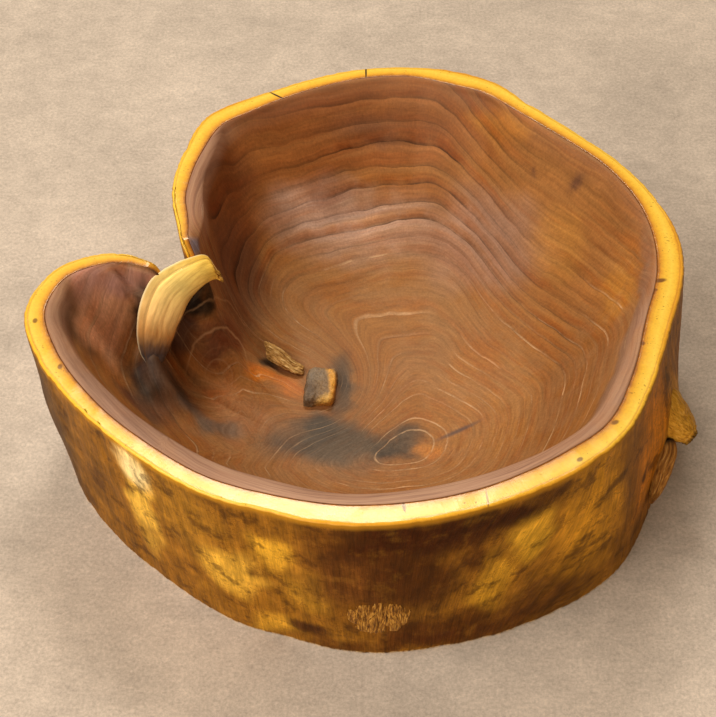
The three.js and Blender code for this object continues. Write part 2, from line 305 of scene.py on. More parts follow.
# The sawn rim from the heartwood outwards, and its cracks and spots: colour, centre, radii, strength,
# turn. The places of the cracks and spots were picked by eye on the photograph and turned into mm by a
# scratch script, and most keep the tenths that it gave.
RIM_TINTS = ((0.0, "#6c3c18"), (0.06, "#a8621c"), (0.16, "#dc9426"), (0.34, "#f2b632"), (0.62, "#fac844"),
             (0.88, "#f4b834"), (1.0, "#e8a028"))
RIM_MARKS = (
    ("#3a2210", (-60, 164.8, 121.5), (6.5, 0.7, 6), 1.0, -36),
    ("#3a2210", (-0.6, 190, 121.5), (0.6, 7.0, 6), 1.0, 0),
    ("#9a6a2a", (63, -177, 121.5), (0.6, 7.0, 6), 0.9, 4),
    ("#6a3a12", (174.6, -11.1, 121.5), (4.0, 1.6, 6), 0.9, 12),
    ("#6a3a12", (170.8, -18.8, 121.5), (1.6, 1.2, 6), 0.8, 0),
    ("#6a3a12", (158.1, -63.1, 121.5), (2.0, 1.4, 6), 0.8, 20),
    ("#6a3a12", (136.5, -123.4, 121.5), (2.4, 1.4, 6), 0.8, 30),
    ("#6a3a12", (114.7, -150, 121.5), (2.0, 1.4, 6), 0.8, 40),
    ("#6a3a12", (18.4, -182.4, 121.5), (1.0, 4.0, 6), 0.9, 8),
    ("#6a3a12", (-176.1, -81.2, 121.5), (1.4, 2.0, 6), 0.8, 0),
    ("#6a3a12", (-195, -44.5, 121.5), (1.4, 2.0, 6), 0.8, 0),
)
ROLLED_TINTS = ((0.05, "#6a441c"), (0.12, "#c89038"), (0.22, "#fcc850"), (0.45, "#ffd878"),
                (0.68, "#ffca78"), (0.8, "#e0a058"), (0.9, "#7a5a42"), (0.98, "#504440"))
KNOT_BASE = "#8e6e48"
KNOT_ZONES = (
    ("#5e4c3a", (-39, -8, 22), (6, 18, 14), 0.8),
    # The gold right edge: the wood's own gold, brightened by a painted highlight, most at the front corner
    ("#eba43e", (-23.5, -8, 27), (2.6, 16, 9), 0.95),
    ("#f0b450", (-26, -22, 22), (7, 5, 10), 0.9),
    ("#8e7a60", (-33, 0, 30), (8, 8, 4), 0.6),
)

# The photograph's camera: 1 m away, looking down at 47 degrees
CAMERA_PLACE = (-6.0, -757.0, 853.35)
CAMERA_TARGET = (-6.0, -75.0, 122.0)
CAMERA_LENS = 87.6
SENSOR_WIDTH = 36.0
FLOOR_SIZE = 6000.0

# The lamps: where they hang and how wide they are
KEY_PLACE = (-1350.0, -600.0, 2000.0)
KEY_SIZE = (1250.0, 1250.0)
SOFTBOX_PLACE = (-60.0, 760.0, 1250.0)
SOFTBOX_SIZE = (460.0, 200.0)
FRONT_PLACE = (-500.0, -1200.0, 500.0)
FRONT_SIZE = (900.0, 600.0)


def linear(hex_colour):
    """Turn an sRGB hex colour into the linear numbers that the shader sockets take."""
    channels = [int(hex_colour[k:k + 2], 16) / 255.0 for k in (1, 3, 5)]
    return tuple(c / 12.92 if c <= 0.04045 else ((c + 0.055) / 1.055) ** 2.4 for c in channels) + (1.0,)


# Shape helpers


def table_loops(name):
    """The closed loops where a node's walls meet its underside, in mm, the longest first."""
    shell = bmesh.new()
    shell.from_mesh(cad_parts[name].data)
    bmesh.ops.remove_doubles(shell, verts=shell.verts, dist=0.01 * MM)
    shell.normal_update()
    beside = {}
    for edge in shell.edges:
        down = [face.normal.z < -0.9 for face in edge.link_faces]
        if all(abs(vert.co.z) < 0.05 * MM for vert in edge.verts) and any(down) and not all(down):
            first, second = edge.verts
            beside.setdefault(first, []).append(second)
            beside.setdefault(second, []).append(first)
    loops = []
    while beside:
        vert = next(iter(beside))
        loop = []
        while vert in beside:
            loop.append(vert.co.xy / MM)
            ahead = beside.pop(vert)
            vert = next((other for other in ahead if other in beside), None)
        loops.append(np.array(loop))
    shell.free()
    return sorted(loops, key=lambda loop: -np.abs(loop - np.roll(loop, 1, 0)).sum())


def wound_from(loop, start):
    """The loop clockwise seen from above, starting at its point nearest to start."""
    x, y = loop.T
    if np.sum(x * np.roll(y, -1) - y * np.roll(x, -1)) > 0:
        loop = loop[::-1]
    return np.roll(loop, -int(np.argmin(np.hypot(*(loop - start).T))), axis=0)


def unit(directions):
    """Directions, in plan or in space, made one long."""
    return directions / np.linalg.norm(directions, axis=1)[:, None]


def curved(before, here, after, beyond, share):
    """Points on the smooth curve from here to after, given the points on either side of them."""
    return 0.5 * (2 * here + (after - before) * share
                  + (2 * before - 5 * here + 4 * after - beyond) * share ** 2
                  + (3 * here - before - 3 * after + beyond) * share ** 3)


def finer(loop, count):
    """Points at even steps on the smooth closed curve through a loop."""
    place = np.arange(count) / count * len(loop)
    index = place.astype(int)
    return curved(*(loop[(index + k) % len(loop)] for k in (-1, 0, 1, 2)), (place - index)[:, None])


def trunk_slice():
    """The trunk's outline, its heartwood's outline and what depends on them, one entry a column."""
    outer, core = table_loops("sapwood_wall")
    outer = wound_from(outer, FORK_VALLEY)
    ahead = np.roll(outer, -1, 0) - np.roll(outer, 1, 0)
    outward = unit(np.c_[-ahead[:, 1], ahead[:, 0]])
    for _ in range(3):
        outward = (2 * outward + np.roll(outward, 1, 0) + np.roll(outward, -1, 0)) / 4
    core = wound_from(core, outer[0] - outward[0] * VALLEY_SAPWOOD)
    outer, core, outward = finer(outer, COLUMNS), finer(core, COLUMNS), unit(finer(outward, COLUMNS))
    steps = np.linalg.norm(np.roll(outer, -1, 0) - outer, axis=1)
    along = np.concatenate(([0.0], np.cumsum(steps)[:-1]))
    from_fork = np.where(along > steps.sum() / 2, along - steps.sum(), along)
    rim = BOWL_HEIGHT - FORK_DIP * np.exp(-((from_fork - FORK_DIP_SHIFT) / FORK_DIP_REACH) ** 4)
    wall = WALL_MEAN - WALL_SWING * outward[:, 1]
    wall = wall * (1 - FORK_THINNING * np.exp(-(from_fork / FORK_THINNING_REACH) ** 2))
    wall = np.maximum(wall, np.hypot(*(outer - core).T) + LEAST_LIP)
    return SimpleNamespace(outer=outer, core=core, outward=outward, from_fork=from_fork, rim=rim,
                           lip=outer - outward * wall[:, None], along=along)


def raised(trunk, plan, height):
    """Points given on the table, brought to a height along the leaning, tapering trunk."""
    share = (np.asarray(height, float) / BOWL_HEIGHT)[..., None]
    moved = plan + trunk.outward * TRUNK_TAPER * share - np.array([TRUNK_LEAN, 0.0]) * share
    return np.concatenate([moved, np.broadcast_to(height, len(plan))[:, None]], axis=1)


def field(points, size, octaves=3, stretch=(1.0, 1.0, 1.0), seed=0.0):
    """Smooth noise, about -1 to 1, at points in mm; size is how wide its lumps are."""
    flat = (np.asarray(points, float) * stretch / size + seed).reshape(-1, 3)
    values = [noise.fractal(p, 1.0, 2.0, octaves, noise_basis="PERLIN_ORIGINAL") for p in flat]
    return np.array(values).reshape(np.shape(points)[:-1])


def along_line(line, width, x, y):
    """The height, at points in plan, of a rounded ridge that follows a line of x, y, height."""
    nearest = np.full(np.shape(x), np.inf)
    amount = np.zeros(np.shape(x))
    for (x0, y0, a0), (x1, y1, a1) in zip(line[:-1], line[1:]):
        run = (x1 - x0) ** 2 + (y1 - y0) ** 2
        share = np.clip(((x - x0) * (x1 - x0) + (y - y0) * (y1 - y0)) / run, 0, 1)
        distance = np.hypot(x - x0 - share * (x1 - x0), y - y0 - share * (y1 - y0))
        amount = np.where(distance < nearest, a0 + share * (a1 - a0), amount)
        nearest = np.minimum(nearest, distance)
    return amount * np.exp(-(nearest / width) ** 2)


def away_from(line, plan):
    """Distance in plan from points to a line."""
    corners = np.array(line, float)
    nearest = np.full(len(plan), np.inf)
    for start, end in zip(corners[:-1], corners[1:]):
        run = end - start
        share = np.clip(((plan - start) @ run) / (run @ run), 0, 1)
        nearest = np.minimum(nearest, np.hypot(*(plan - start - share[:, None] * run).T))
    return nearest


def softer_min(first, second, blend):
    """The smaller of two values, rounded where they meet."""
    gap = np.clip(0.5 + 0.5 * (second - first) / blend, 0, 1)
    return second * (1 - gap) + first * gap - blend * gap * (1 - gap)


def eased(values, low, high):
    """0 below low, 1 above high and a smooth step between them."""
    share = np.clip((values - low) / (high - low), 0, 1)
    return share * share * (3 - 2 * share)


def spokes(pith, loop, plan):
    """How far points are from a pith, as a share of the stem's own width that way, and which way."""
    reach = loop - pith
    turn = np.arctan2(reach[:, 1], reach[:, 0])
    toward = plan - pith
    distance = np.hypot(*toward.T)
    width = np.interp(np.arctan2(toward[:, 1], toward[:, 0]), turn, np.hypot(*reach.T), period=2 * np.pi)
    return distance / width, toward / np.maximum(distance, 1e-6)[:, None]


def ring_count(trunk, points):
    """Growth rings counted outwards at each point, and places measured along and across the rings."""
    flat = points.reshape(-1, 3)
    plan = flat[:, :2] + np.array([TRUNK_LEAN, 0.0]) * (flat[:, 2:] / BOWL_HEIGHT - 1)
    halfway = int(MAIN_STEM_SHARE * COLUMNS)
    upper = trunk.outer - np.array([TRUNK_LEAN, 0.0])
    main_loop = np.vstack([upper[:halfway], MAIN_INNER_SIDE])
    side_loop = np.vstack([upper[halfway:], SIDE_INNER_SIDE])
    main_share, main_way = spokes(MAIN_PITH, main_loop, plan)
    main_share *= 1 + PITH_FLATNESS * main_way[:, 1] ** 2 * (1 - eased(main_share, 0.1, 0.6))
    side_share, side_way = spokes(SIDE_PITH, side_loop, plan)
    seam = 0.92 - away_from(RING_SEAM, plan) / SEAM_REACH
    main = -RINGS * softer_min(-main_share ** RING_CROWDING, -seam, 0.3)
    side = RINGS - SIDE_RINGS * (1 + softer_min(-side_share, -seam, 0.3))
    beside = eased(main - side, -1.5, 1.5)[:, None]
    way = main_way * (1 - beside) + side_way * beside
    wander = 0.26 * field(flat, 55.0, 3, seed=5.3) + 0.07 * field(flat, 12.0, 3, seed=2.1)
    wander += RIGHT_RING_DROP * eased(plan[:, 0], 30, 110) * eased(plan[:, 1], -70, 60)
    rings = softer_min(main, side, 2.5) + wander * eased(main, 0.5, 5.0)
    grain = np.c_[rings * RING_STEP, way * GRAIN_RADIUS]
    return rings.reshape(points.shape[:-1]), grain.reshape(points.shape)


def blotched(points, base, zones, shake=9.0):
    """Colours at points: a base under soft, ragged blobs of other colours, laid on in order."""
    shaken = points + shake * np.stack([field(points, 26.0, 4, seed=k) for k in (11.0, 23.0, 37.0)], axis=-1)
    colours = np.broadcast_to(linear(base), points.shape[:-1] + (4,)).copy()
    for colour, centre, radii, strength in zones:
        distance = np.linalg.norm((shaken - centre) / np.array(radii), axis=-1)
        share = strength * (1 - eased(distance, 0.45, 1.45))
        colours += share[..., None] * (np.array(linear(colour)) - colours)
    return colours


def heaped(points, zones):
    """The sum at points of soft blobs, each an amount, a centre and radii."""
    total = np.zeros(points.shape[:-1])
    for amount, centre, radii in zones:
        distance = np.linalg.norm((points - centre) / np.array(radii), axis=-1)
        total += amount * (1 - eased(distance, 0.4, 1.4))
    return total


def new_shape(layers):
    """An empty mesh, with a layer at its points for each name: 1 for numbers, 3 for places, 4 for colours."""
    shape = bmesh.new()
    kinds = shape.verts.layers
    kind_of = {1: kinds.float, 3: kinds.float_vector, 4: kinds.float_color}
    return shape, {name: kind_of[size].new(name) for name, size in layers.items()}


def fill_layer(verts, track, values):
    """Write one value to each point."""
    for vert, value in zip(verts, values.tolist()):
        vert[track] = value


def settled(name, shape):
    """Make a smooth, closed shape a piece of the scene."""
    bmesh.ops.recalc_face_normals(shape, faces=shape.faces)
    for face in shape.faces:
        face.smooth = True
    mesh = bpy.data.meshes.new(name)
    shape.to_mesh(mesh)
    shape.free()
    piece = bpy.data.objects.new(name, mesh)
    bpy.context.collection.objects.link(piece)
    return piece


def woven_piece(name, rows, layers):
    """A closed piece from rows of points in mm, joined where its rows and columns meet."""
    row_count, column_count = rows.shape[:2]
    layers = {key: np.concatenate([value, value[:, :1]], axis=1) for key, value in layers.items()}
    rows = np.concatenate([rows, rows[:, :1]], axis=1).reshape(-1, 3)
    flat = {key: value.reshape((len(rows),) + value.shape[2:]) for key, value in layers.items()}
    shape, tracks = new_shape({key: value.shape[1] if value.ndim == 2 else 1 for key, value in flat.items()})
    bmesh.ops.create_grid(shape, x_segments=column_count, y_segments=row_count - 1, size=1.0)
    verts = sorted(shape.verts, key=lambda vert: (round(vert.co.y, 4), vert.co.x))
    for key, track in tracks.items():
        fill_layer(verts, track, flat[key])
    for vert, place in zip(verts, rows * MM):
        vert.co = place
    bmesh.ops.remove_doubles(shape, verts=shape.verts, dist=0.004 * MM)
    return settled(name, shape)


def finished(piece, node, finish):
    """Dress a piece: its material, the node it stands for and the body it rides on."""
    piece.data.materials.append(finish)
    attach(piece, "root")
    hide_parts(node)


def between(edges):
    """The line, with its half widths, half heights and wide ways, of a sheet between two edges."""
    left, right = (np.array([pair[k] for pair in edges], float) for k in (0, 1))
    half = np.linalg.norm(right - left, axis=1) / 2
    return np.c_[(left + right) / 2, half, [pair[2] for pair in edges], unit(right - left)]


def line_body(line, steps, sides, roundness=1.0):
    """Rings of points round a line of x, y, z, half width, half height and perhaps its wide way, more or
    less round: with the share along, the turn round, and places measured along and across the line."""
    table = np.array(line, float)
    count = len(table)
    place = np.linspace(0, count - 1, steps + 1)
    index = np.minimum(place.astype(int), count - 2)
    padded = np.vstack([2 * table[0] - table[1], table, 2 * table[-1] - table[-2]])
    smooth = curved(*(padded[index + k] for k in (0, 1, 2, 3)), (place - index)[:, None])
    centre, half, wide_way = smooth[:, :3], smooth[:, 3:5], smooth[:, 5:]
    forward = unit(np.gradient(centre, axis=0))
    across = unit(wide_way if wide_way.size else np.cross((0.0, 0.0, 1.0), forward))
    up = unit(np.cross(forward, across))
    turn = np.arange(sides) / sides * 2 * np.pi
    cosine, sine = (np.sign(wave) * np.abs(wave) ** roundness for wave in (np.cos(turn), np.sin(turn)))
    wide, high = cosine[None] * half[:, :1], sine[None] * half[:, 1:]
    rows = centre[:, None] + across[:, None] * wide[..., None] + up[:, None] * high[..., None]
    steps_long = np.linalg.norm(np.diff(centre, axis=0, prepend=centre[:1]), axis=1)
    run = np.broadcast_to(np.cumsum(steps_long)[:, None], wide.shape)
    return SimpleNamespace(rows=rows, centre=centre, share=np.linspace(0, 1, steps + 1), turn=turn,
                           fibre=np.stack([run, wide, high], axis=-1))


def line_piece(name, body, amount, node, finish, layers=None):
    """A piece from rings round a line, their points moved away from it by an amount in mm."""
    outward = body.rows - body.centre[:, None]
    length = np.maximum(np.linalg.norm(outward, axis=2, keepdims=True), 1e-6)
    sides = len(body.turn)
    rows = body.rows + outward / length * amount[..., None]
    rows = np.concatenate([np.repeat(rows[:1].mean(1, keepdims=True), sides, 1), rows,
                           np.repeat(rows[-1:].mean(1, keepdims=True), sides, 1)])
    layers = {key: np.broadcast_to(value, body.rows.shape[:2]) for key, value in (layers or {}).items()}
    layers = {"fibre": body.fibre, **layers}
    layers = {key: np.concatenate([value[:1], value, value[-1:]]) for key, value in layers.items()}
    finished(woven_piece(name, rows, layers), node, finish)


# The pieces


def sapwood_rows(trunk):
    """The sapwood wall's points, and how far each one is over the arris, towards the heartwood."""
    width = np.hypot(*(trunk.outer - trunk.core).T)
    flat = np.zeros(COLUMNS)
    laid = []
    for angle in np.radians((0, 30, 60, 90)):
        plan = trunk.outer - trunk.outward * BASE_ROUND * (1 - np.sin(angle))
        laid.append((plan, flat + BASE_ROUND * (1 - np.cos(angle)), 1.0, -trunk.rim))
    for share in np.linspace(0.02, 0.975, OUTSIDE_ROWS):
        laid.append((trunk.outer, share * trunk.rim, 1.0, (share - 1) * trunk.rim))
    for angle in np.radians((0, 25, 50, 72, 90)):
        plan = trunk.outer - trunk.outward * RIM_ROUND * (1 - np.cos(angle))
        arris = RIM_ROUND * (4 * angle / np.pi - 1)
        laid.append((plan, trunk.rim - RIM_ROUND * (1 - np.sin(angle)), 1.0, flat + arris))
    for share in (0.22, 0.34, 0.46, 0.58, 0.7, 0.82, 0.92, 1.0):
        plan = trunk.outer * (1 - share) + trunk.core * share
        laid.append((plan, trunk.rim, (1 - share) ** 2, share * width))
    for share in (0.8, 0.55, 0.3, 0.0):
        laid.append((trunk.core, trunk.rim * share, 0.0, width))
    for share in (0.6, 0.3):
        laid.append((trunk.outer * (1 - share) + trunk.core * share, flat, 0.0, -trunk.rim))
    rows = np.array([raised(trunk, plan, height) for plan, height, _, _ in laid])
    weights = np.array([weight for _, _, weight, _ in laid])[:, None]
    arris = np.array([over for _, _, _, over in laid])
    x, y, z = np.moveaxis(rows, -1, 0)
    swell = np.zeros(x.shape)
    for (amount, mid_y, mid_z, reach_y, reach_z), side in ((STUB_SWELL, x > 0), (LEFT_SWELL, x < -120)):
        swell += amount * np.exp(-((y - mid_y) / reach_y) ** 2 - ((z - mid_z) / reach_z) ** 2) * side
    inward = 0.7 + 0.9 * field(rows, 60.0, 2, seed=1.7)
    inward += 0.7 * np.abs(field(rows, 4.5, 3, (1, 1, 0.1), seed=7.9))
    inward += 1.0 * np.clip(field(rows, 16.0, 3, (1, 1, 0.3), seed=3.3) - 0.1, 0, 1)
    inward = np.maximum(inward, 0.05) - swell
    rows[..., :2] -= trunk.outward[None] * (inward * weights)[..., None]
    rows[..., 2] -= (z > trunk.rim - 0.01) * 0.3 * np.abs(field(rows, 22.0, 2, seed=9.1))
    return np.concatenate([rows, rows[:1]]), np.concatenate([arris, arris[:1]]), width


def make_sapwood(trunk, finish):
    """The sapwood wall with its worked outside and sawn rim."""
    rows, arris, width = sapwood_rows(trunk)
    x, y = trunk.outer.T
    slant = -FIBRE_SLANT * np.exp(-((x - FIBRE_SLANT_PLACE) / FIBRE_SLANT_REACH) ** 2) * (y < -60)
    slant = slant - LEFT_SLANT * eased(-x, 100, 190)
    down = rows[..., 2] - BOWL_HEIGHT
    fibre = np.stack([trunk.along[None] - slant[None] * down, rows[..., 2], 0 * down], axis=-1)
    layers = {"arris": arris, "core": width[None] - arris, "fibre": fibre,
              "stain": blotched(rows, OUTSIDE_BASE, OUTSIDE_ZONES)}
    finished(woven_piece("sapwood", rows, layers), "sapwood_wall", finish)


def heartwood_rows(trunk):
    """The heartwood's points from its underside to the hollow's floor, and how far in from the lip."""
    middle = np.zeros((COLUMNS, 3))
    middle[:, :2] = HOLLOW_CENTRE + (TRUNK_LEAN, 0.0)
    core = trunk.core - trunk.outward * ZONE_GAP
    table = raised(trunk, core, np.zeros(COLUMNS))
    rows = [middle + (table - middle) * share for share in (0.0, 0.4, 0.8, 1.0)]
    rows += [raised(trunk, core, trunk.rim * share) for share in (0.25, 0.5, 0.75, 0.95)]
    depth = [-1.0] * len(rows)
    sink = FORK_SINK * np.exp(-((trunk.from_fork - FORK_SINK_SHIFT) / FORK_SINK_REACH) ** 4)
    for share in (0.0, 0.12, 0.26, 0.42, 0.58, 0.74, 0.88, 1.0):
        plan = core * (1 - share) + trunk.lip * share
        rows.append(raised(trunk, plan, trunk.rim - LIP_DROP * share ** 2 - sink * eased(share, 0.0, 0.3)))
        depth.append(share - 1)
    lip = rows[-1]
    steepness = STEEPNESS + np.hypot(*(lip[:, :2] - HOLLOW_CENTRE).T) / STEEPNESS_LENGTH
    steepness = steepness + FORK_STEEPNESS * np.exp(-(trunk.from_fork / FORK_STEEPNESS_REACH) ** 2)
    for share in (np.arange(1, HOLLOW_ROWS + 1) / HOLLOW_ROWS) ** HOLLOW_CROWDING:
        plan = lip[:, :2] * (1 - share) + HOLLOW_CENTRE * share
        height = FLOOR_THICKNESS + (lip[:, 2] - FLOOR_THICKNESS) * (1 - share) ** steepness
        height = height + along_line(SPUR_LINE, SPUR_WIDTH, *plan.T)
        height = height - along_line(CREASE_LINE, CREASE_WIDTH, *plan.T)
        height = softer_min(height, lip[:, 2] - SPUR_DROP * eased(share, 0.0, 0.1), 1.0)
        rows.append(np.c_[plan, height])
        depth.append(share)
    rows, depth = np.array(rows), np.array(depth)[:, None]
    carved = eased(depth, 0.0, 0.15) * (1 - 0.7 * eased(depth, 0.85, 1.0))
    rows[..., 2] += 0.5 * field(rows, 40.0, 3, seed=4.4) * carved
    rows[-1, :, 2] = rows[-1, :, 2].mean()
    return rows, depth


def make_heartwood(trunk, finish):
    """The heartwood with its hollow, its growth rings counted and its stains and painted light laid for the
    finish.
    """
    rows, depth = heartwood_rows(trunk)
    rings, grain = ring_count(trunk, rows)
    x, y, z = np.moveaxis(rows, -1, 0)
    pale = np.maximum(1 - eased(z, *FLOOR_PALE), eased(x - 0.9 * y, *RIGHT_PALE))
    pale = np.maximum(pale, 0.6 * eased(-x, *SIDE_PALE) * (y < 40))
    faint = np.clip(heaped(rows, FAINT_ZONES), 0, 1)
    pale *= 1 - 0.6 * faint
    # The lip's painted reflection: strongest at the front, where it faces the softbox, a share at the back
    # and none at the fork
    lip_sheen = LIP_SHEEN_BACK + (1 - LIP_SHEEN_BACK) * (1 - eased(trunk.outward @ (0.4, 1.0), -0.1, 0.6))
    lip_sheen = lip_sheen * (1 - np.exp(-(trunk.from_fork / FORK_SHEEN_REACH) ** 2))
    lip = lip_sheen[None] * (1 - eased(depth, 0.0, 0.035)) * (1 - 0.45 * eased(np.abs(x), 50, 140))
    layers = {"rings": rings, "grain": grain, "pale": pale, "faint": faint, "lip": lip,
              "stain": blotched(rows, HOLLOW_BASE, HOLLOW_ZONES)}
    finished(woven_piece("heartwood", rows, layers), "heartwood_bowl", finish)


def make_rolled_sapwood(finish):
    """The sapwood rolled into the hollow at the fork: smooth on top, with a sharp pale outer edge."""
    body = line_body(between(ROLLED_SAPWOOD_EDGES), *ROLLED_STEPS)
    edge = np.exp(-((body.turn - EDGE_TURN) / EDGE_WIDTH) ** 2)
    groove = np.exp(-((body.turn - GROOVE_TURN) / EDGE_WIDTH) ** 2)
    middle = np.sin(np.pi * body.share)[:, None] ** 0.6
    amount = middle * (EDGE_RISE * edge - GROOVE_DEPTH * groove)[None]
    amount = amount - 0.5 * np.abs(field(body.fibre, 3.0, 3, (0.12, 1, 1)))
    amount += 0.6 * field(body.fibre, 16.0, 2, (0.5, 1, 1), seed=6.0) * middle
    torn = 1 - eased(body.share, 0.02, 0.16)[:, None]
    amount -= torn * 4.5 * np.abs(field(body.fibre, 3.0, 3, (0.3, 1, 1), seed=2.0))
    # How far each point faces down and away, for the painted shade below
    layers = {"along": body.share[:, None], "under": -np.sin(body.turn - 0.35)[None],
              "edge": (edge - groove)[None]}
    line_piece("rolled_edge", body, amount, "rolled_sapwood", finish, layers)


def make_included_bark(finish):
    """The strip of bark grown in between the stems: a ragged plank of torn, crossing fibres."""
    body = line_body(between(INCLUDED_BARK_EDGES), *BARK_STEPS, 0.5)
    amount = -0.8 * np.abs(field(body.fibre, 1.6, 3, (0.3, 1, 1), seed=8.0))
    amount += 0.9 * field(body.fibre, 6.0, 3, seed=3.0)
    ends = 1 - np.sin(np.pi * body.share)[:, None] ** 0.3
    amount -= ends * 2.5 * np.abs(field(body.fibre, 2.2, 3, seed=5.0))
    line_piece("bark_strip", body, amount, "included_bark", finish)


def make_knot(finish):
    """The knot: a squarish stub of dense wood standing out of the floor, its top left uneven."""
    shape, tracks = new_shape({"stain": 4})
    bmesh.ops.create_uvsphere(shape, u_segments=KNOT_STEPS[0], v_segments=KNOT_STEPS[1], radius=1.0)
    places = []
    for vert in shape.verts:
        squared = vert.co / sum(abs(c) ** 7 for c in vert.co) ** (1 / 7)
        squared.x += 0.14 * squared.y
        places.append([KNOT_CENTRE[k] + squared[k] * KNOT_HALF[k] for k in range(3)])
    places = np.array(places)
    ways = unit(places - KNOT_CENTRE)
    lumps = 1.0 * field(places, 8.0, 3, seed=2.0) + 0.6 * field(places, 2.4, 3, seed=1.0) - 0.8
    places += ways * np.minimum(lumps, 0.2)[:, None]
    fill_layer(shape.verts, tracks["stain"], blotched(places, KNOT_BASE, KNOT_ZONES, 3.0))
    for vert, place in zip(shape.verts, places * MM):
        vert.co = place
    finished(settled("knot", shape), "floor_knot", finish)


def make_branch_stub(finish):
    """The branch stub: a swelling collar whose fibres run out to a torn end, broken below."""
    body = line_body(BRANCH_STUB_LINE, *STUB_STEPS)
    amount = -np.abs(field(body.fibre, 3.6, 3, (0.1, 1, 1), seed=1.0)) + 0.8 * field(body.rows, 9.0, 3)
    torn = eased(body.share, 0.8, 1.0)[:, None]
    amount += torn * (3.0 * field(body.fibre, 2.0, 3, (0.5, 1, 1), seed=4.0) - 1.0)
    tip = 0.8 * eased(body.share, 0.9, 1.0)[:, None]
    # The underside and the torn tip: broken in relief here, and darkened in the finish, below as painted
    # shade
    under = np.maximum(eased(-np.sin(body.turn), 0.1, 0.8)[None], tip)
    amount = np.minimum(amount, 0.6) - 1.6 * under * np.abs(field(body.rows, 3.0, 3, seed=7.0))
    line_piece("stub", body, amount, "branch_stub", finish, {"under": under})


def make_torn_flap(finish):
    """The torn fibres below the stub: strips that run down to a point."""
    body = line_body(TORN_FLAP_LINE, *FLAP_STEPS, 0.7)
    share = body.share[:, None]
    amount = -2.2 * np.abs(field(body.fibre, 2.6, 3, (0.06, 1, 1), seed=6.0)) + 0.5
    amount *= np.clip(share * 6, 0.3, 1) * np.clip((1 - share) * 4, 0.1, 1)
    # The flap's top, tucked under the stub, is darkened as painted shade
    line_piece("flap", body, amount, "torn_flap", finish, {"under": eased(-share, -0.14, 0.0)})


def make_bark_patch(trunk, finish):
    """The patch of inner bark left on the front: a thin, ragged skin on the wall that narrows downwards."""
    middle = sum(PATCH_LEVELS) / 2
    height = PATCH_LEVELS[1] - PATCH_LEVELS[0]
    wall = raised(trunk, trunk.outer, np.full(COLUMNS, middle))
    kept = (wall[:, 0] > PATCH_SIDES[0]) & (wall[:, 0] < PATCH_SIDES[1]) & (wall[:, 1] < 0)
    front = wall[kept]
    side = np.linspace(-1, 1, len(front))
    places = np.c_[front[:, 0], np.zeros((len(front), 2))]
    close = 1 - np.abs(side) ** 6
    rise = PATCH_TAPER * height * np.abs(side)
    ragged = field(places, 2.2, 2, seed=4.0)
    half = height / 2 - rise + 3.0 * field(places, 8.0, 3, seed=1.0) + 2.0 * ragged
    level = middle + rise + 3.5 * field(places, 9.0, 3, seed=6.0) - 1.5 * ragged
    thick = np.full(len(front), PATCH_THICKNESS / 2)
    line = np.c_[front[:, 0], front[:, 1] + PATCH_DEPTH, level, thick, half * close]
    body = line_body(line, *PATCH_STEPS, 0.3)
    lift = 1.6 * field(body.rows, 2.0, 3, (1, 0.3, 0.1), seed=2.0)
    lift += 1.2 * field(body.rows, 11.0, 2, seed=5.0)
    body.rows[..., 1] -= np.clip(lift, -1.0, 0.8)
    body.fibre = body.rows[..., [2, 0, 1]]
    line_piece("patch", body, np.zeros(body.rows.shape[:2]), "bark_patch", finish)


# The finishes

EASED = {"interpolation_type": "SMOOTHSTEP"}
ADD = {"operation": "ADD"}
TIMES = {"operation": "MULTIPLY"}
TIMES_PLUS = {"operation": "MULTIPLY_ADD"}
OVER = {"data_type": "RGBA"}
TINT = {"data_type": "RGBA", "blend_type": "MULTIPLY"}


def add_node(tree, kind, settings=None, out=0, **links):
    """Add a node with its settings, link or set its inputs, named or numbered as i0, i1, and give an
    output. The setting stops fills a colour ramp with places and hex colours."""
    node = tree.nodes.new("ShaderNode" + kind)
    for key, value in (settings or {}).items():
        if key != "stops":
            setattr(node, key, value)
            continue
        stops = node.color_ramp.elements
        stops.remove(stops[-1])
        stops[0].position, stops[0].color = value[0][0], linear(value[0][1])
        for place, colour in value[1:]:
            stops.new(place).color = linear(colour)
    for key, value in links.items():
        socket = node.inputs[int(key[1:]) if key[1:].isdigit() else key.replace("_", " ")]
        if isinstance(value, bpy.types.NodeSocket):
            tree.links.new(value, socket)
        else:
            socket.default_value = value
    return node.outputs[out]


def new_finish(name, roughness, specular, sheen_tint="#ffffff"):
    """A material with its shader's plain numbers set, and where its patterns are placed."""
    material = bpy.data.materials.new(name)
    material.use_nodes = True
    tree = material.node_tree
    shader = tree.nodes["Principled BSDF"]
    shader.inputs["Roughness"].default_value = roughness
    shader.inputs["Specular IOR Level"].default_value = specular
    shader.inputs["Specular Tint"].default_value = linear(sheen_tint)
    return material, tree, shader, add_node(tree, "TexCoord", out="Object")


def grain(tree, place, size, detail=4.0, rough=0.65, swirl=0.0):
    """Wood grain: noise in lumps of a size along each axis, in the units that its places have."""
    scaled = add_node(tree, "Mapping", Vector=place, Scale=[1 / s for s in size])
    return add_node(tree, "TexNoise", Vector=scaled, Scale=1.0, Detail=detail, Roughness=rough,
                    Distortion=swirl)


def shade(tree, colour, factor, low, high):
    """Darken or lighten a colour by a noise: its value runs from low to high."""
    value = add_node(tree, "MapRange", Value=factor, From_Min=0.25, From_Max=0.75, To_Min=low, To_Max=high)
    return add_node(tree, "HueSaturation", Color=colour, Value=value)


